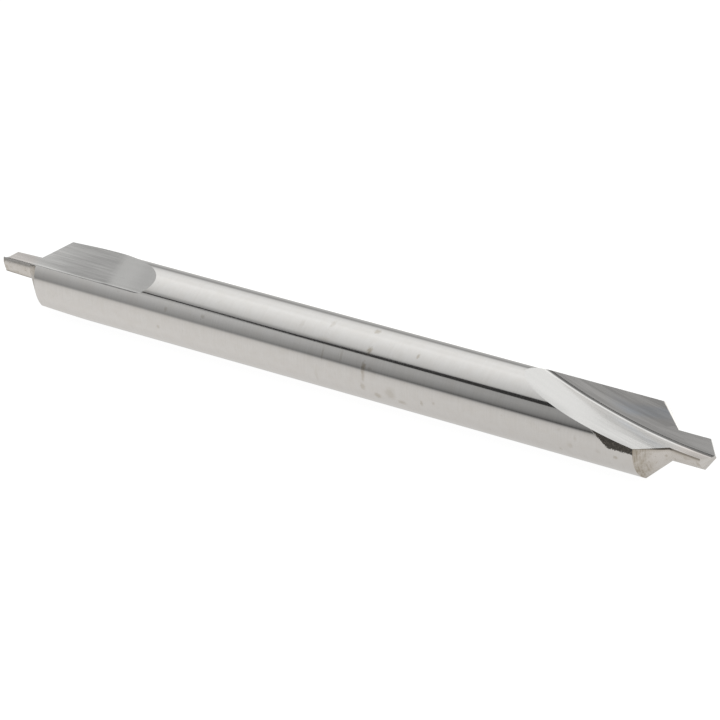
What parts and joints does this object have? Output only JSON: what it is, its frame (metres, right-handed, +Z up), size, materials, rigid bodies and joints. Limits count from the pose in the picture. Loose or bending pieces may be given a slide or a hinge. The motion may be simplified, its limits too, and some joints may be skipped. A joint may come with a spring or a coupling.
{
  "type": "centre drill",
  "caption": "Double-ended centre drill: a round body with a pointed pilot, a countersink cone and straight flutes ground at each end, for drilling centre holes in lathe work.",
  "frame": {"origin": "middle of the drill, on its axis", "axes": "+X along the axis to the end that is on the right in the picture, +Z up as the drill lies on its body"},
  "size_m": [0.0888, 0.008, 0.008],
  "materials": {
    "carbide": "ground, satin"
  },
  "bodies": {
    "root": {"centre_drill": "carbide"}
  },
  "joints": []
}
